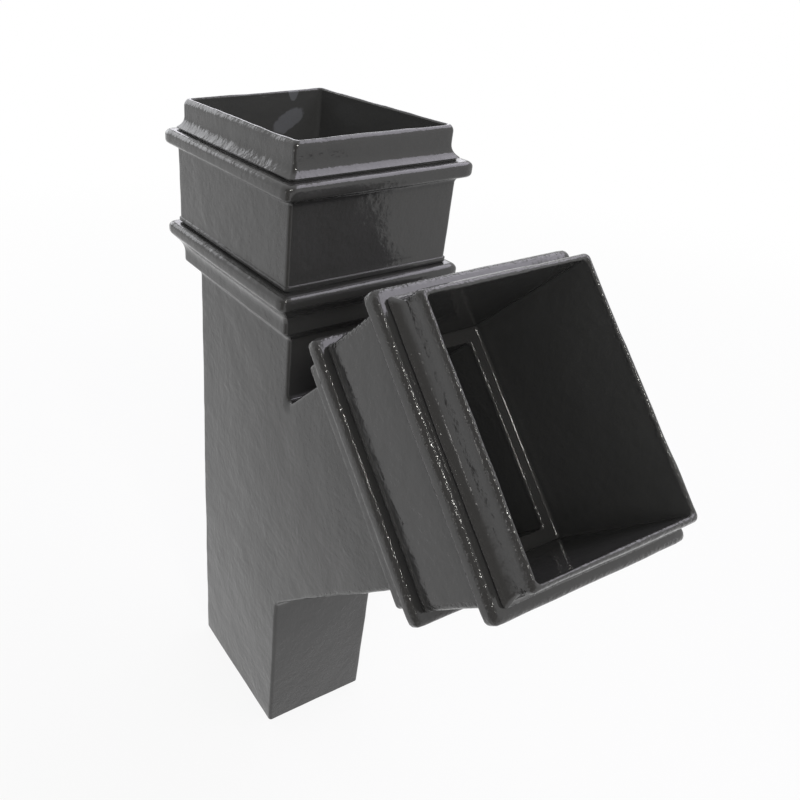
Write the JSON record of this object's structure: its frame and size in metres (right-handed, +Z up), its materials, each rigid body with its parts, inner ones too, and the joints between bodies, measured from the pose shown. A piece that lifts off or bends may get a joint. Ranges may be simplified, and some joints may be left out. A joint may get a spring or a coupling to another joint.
{
  "type": "downpipe branch",
  "caption": "Rectangular cast iron downpipe branch: plain spigot below, moulded socket on top and an equal socket on an arm at 45 degrees.",
  "frame": {"origin": "centre of the spigot's end face, at the bottom of the upright pipe", "axes": "+Z up the upright pipe towards its socket; +X to the side that the branch leaves from; +Y across the pipe"},
  "size_m": [0.3068, 0.111, 0.4201],
  "materials": {
    "gloss_black_paint": "thick gloss black paint over the rough sand-cast surface"
  },
  "bodies": {
    "root": {"branch_casting": "gloss_black_paint"}
  },
  "joints": []
}
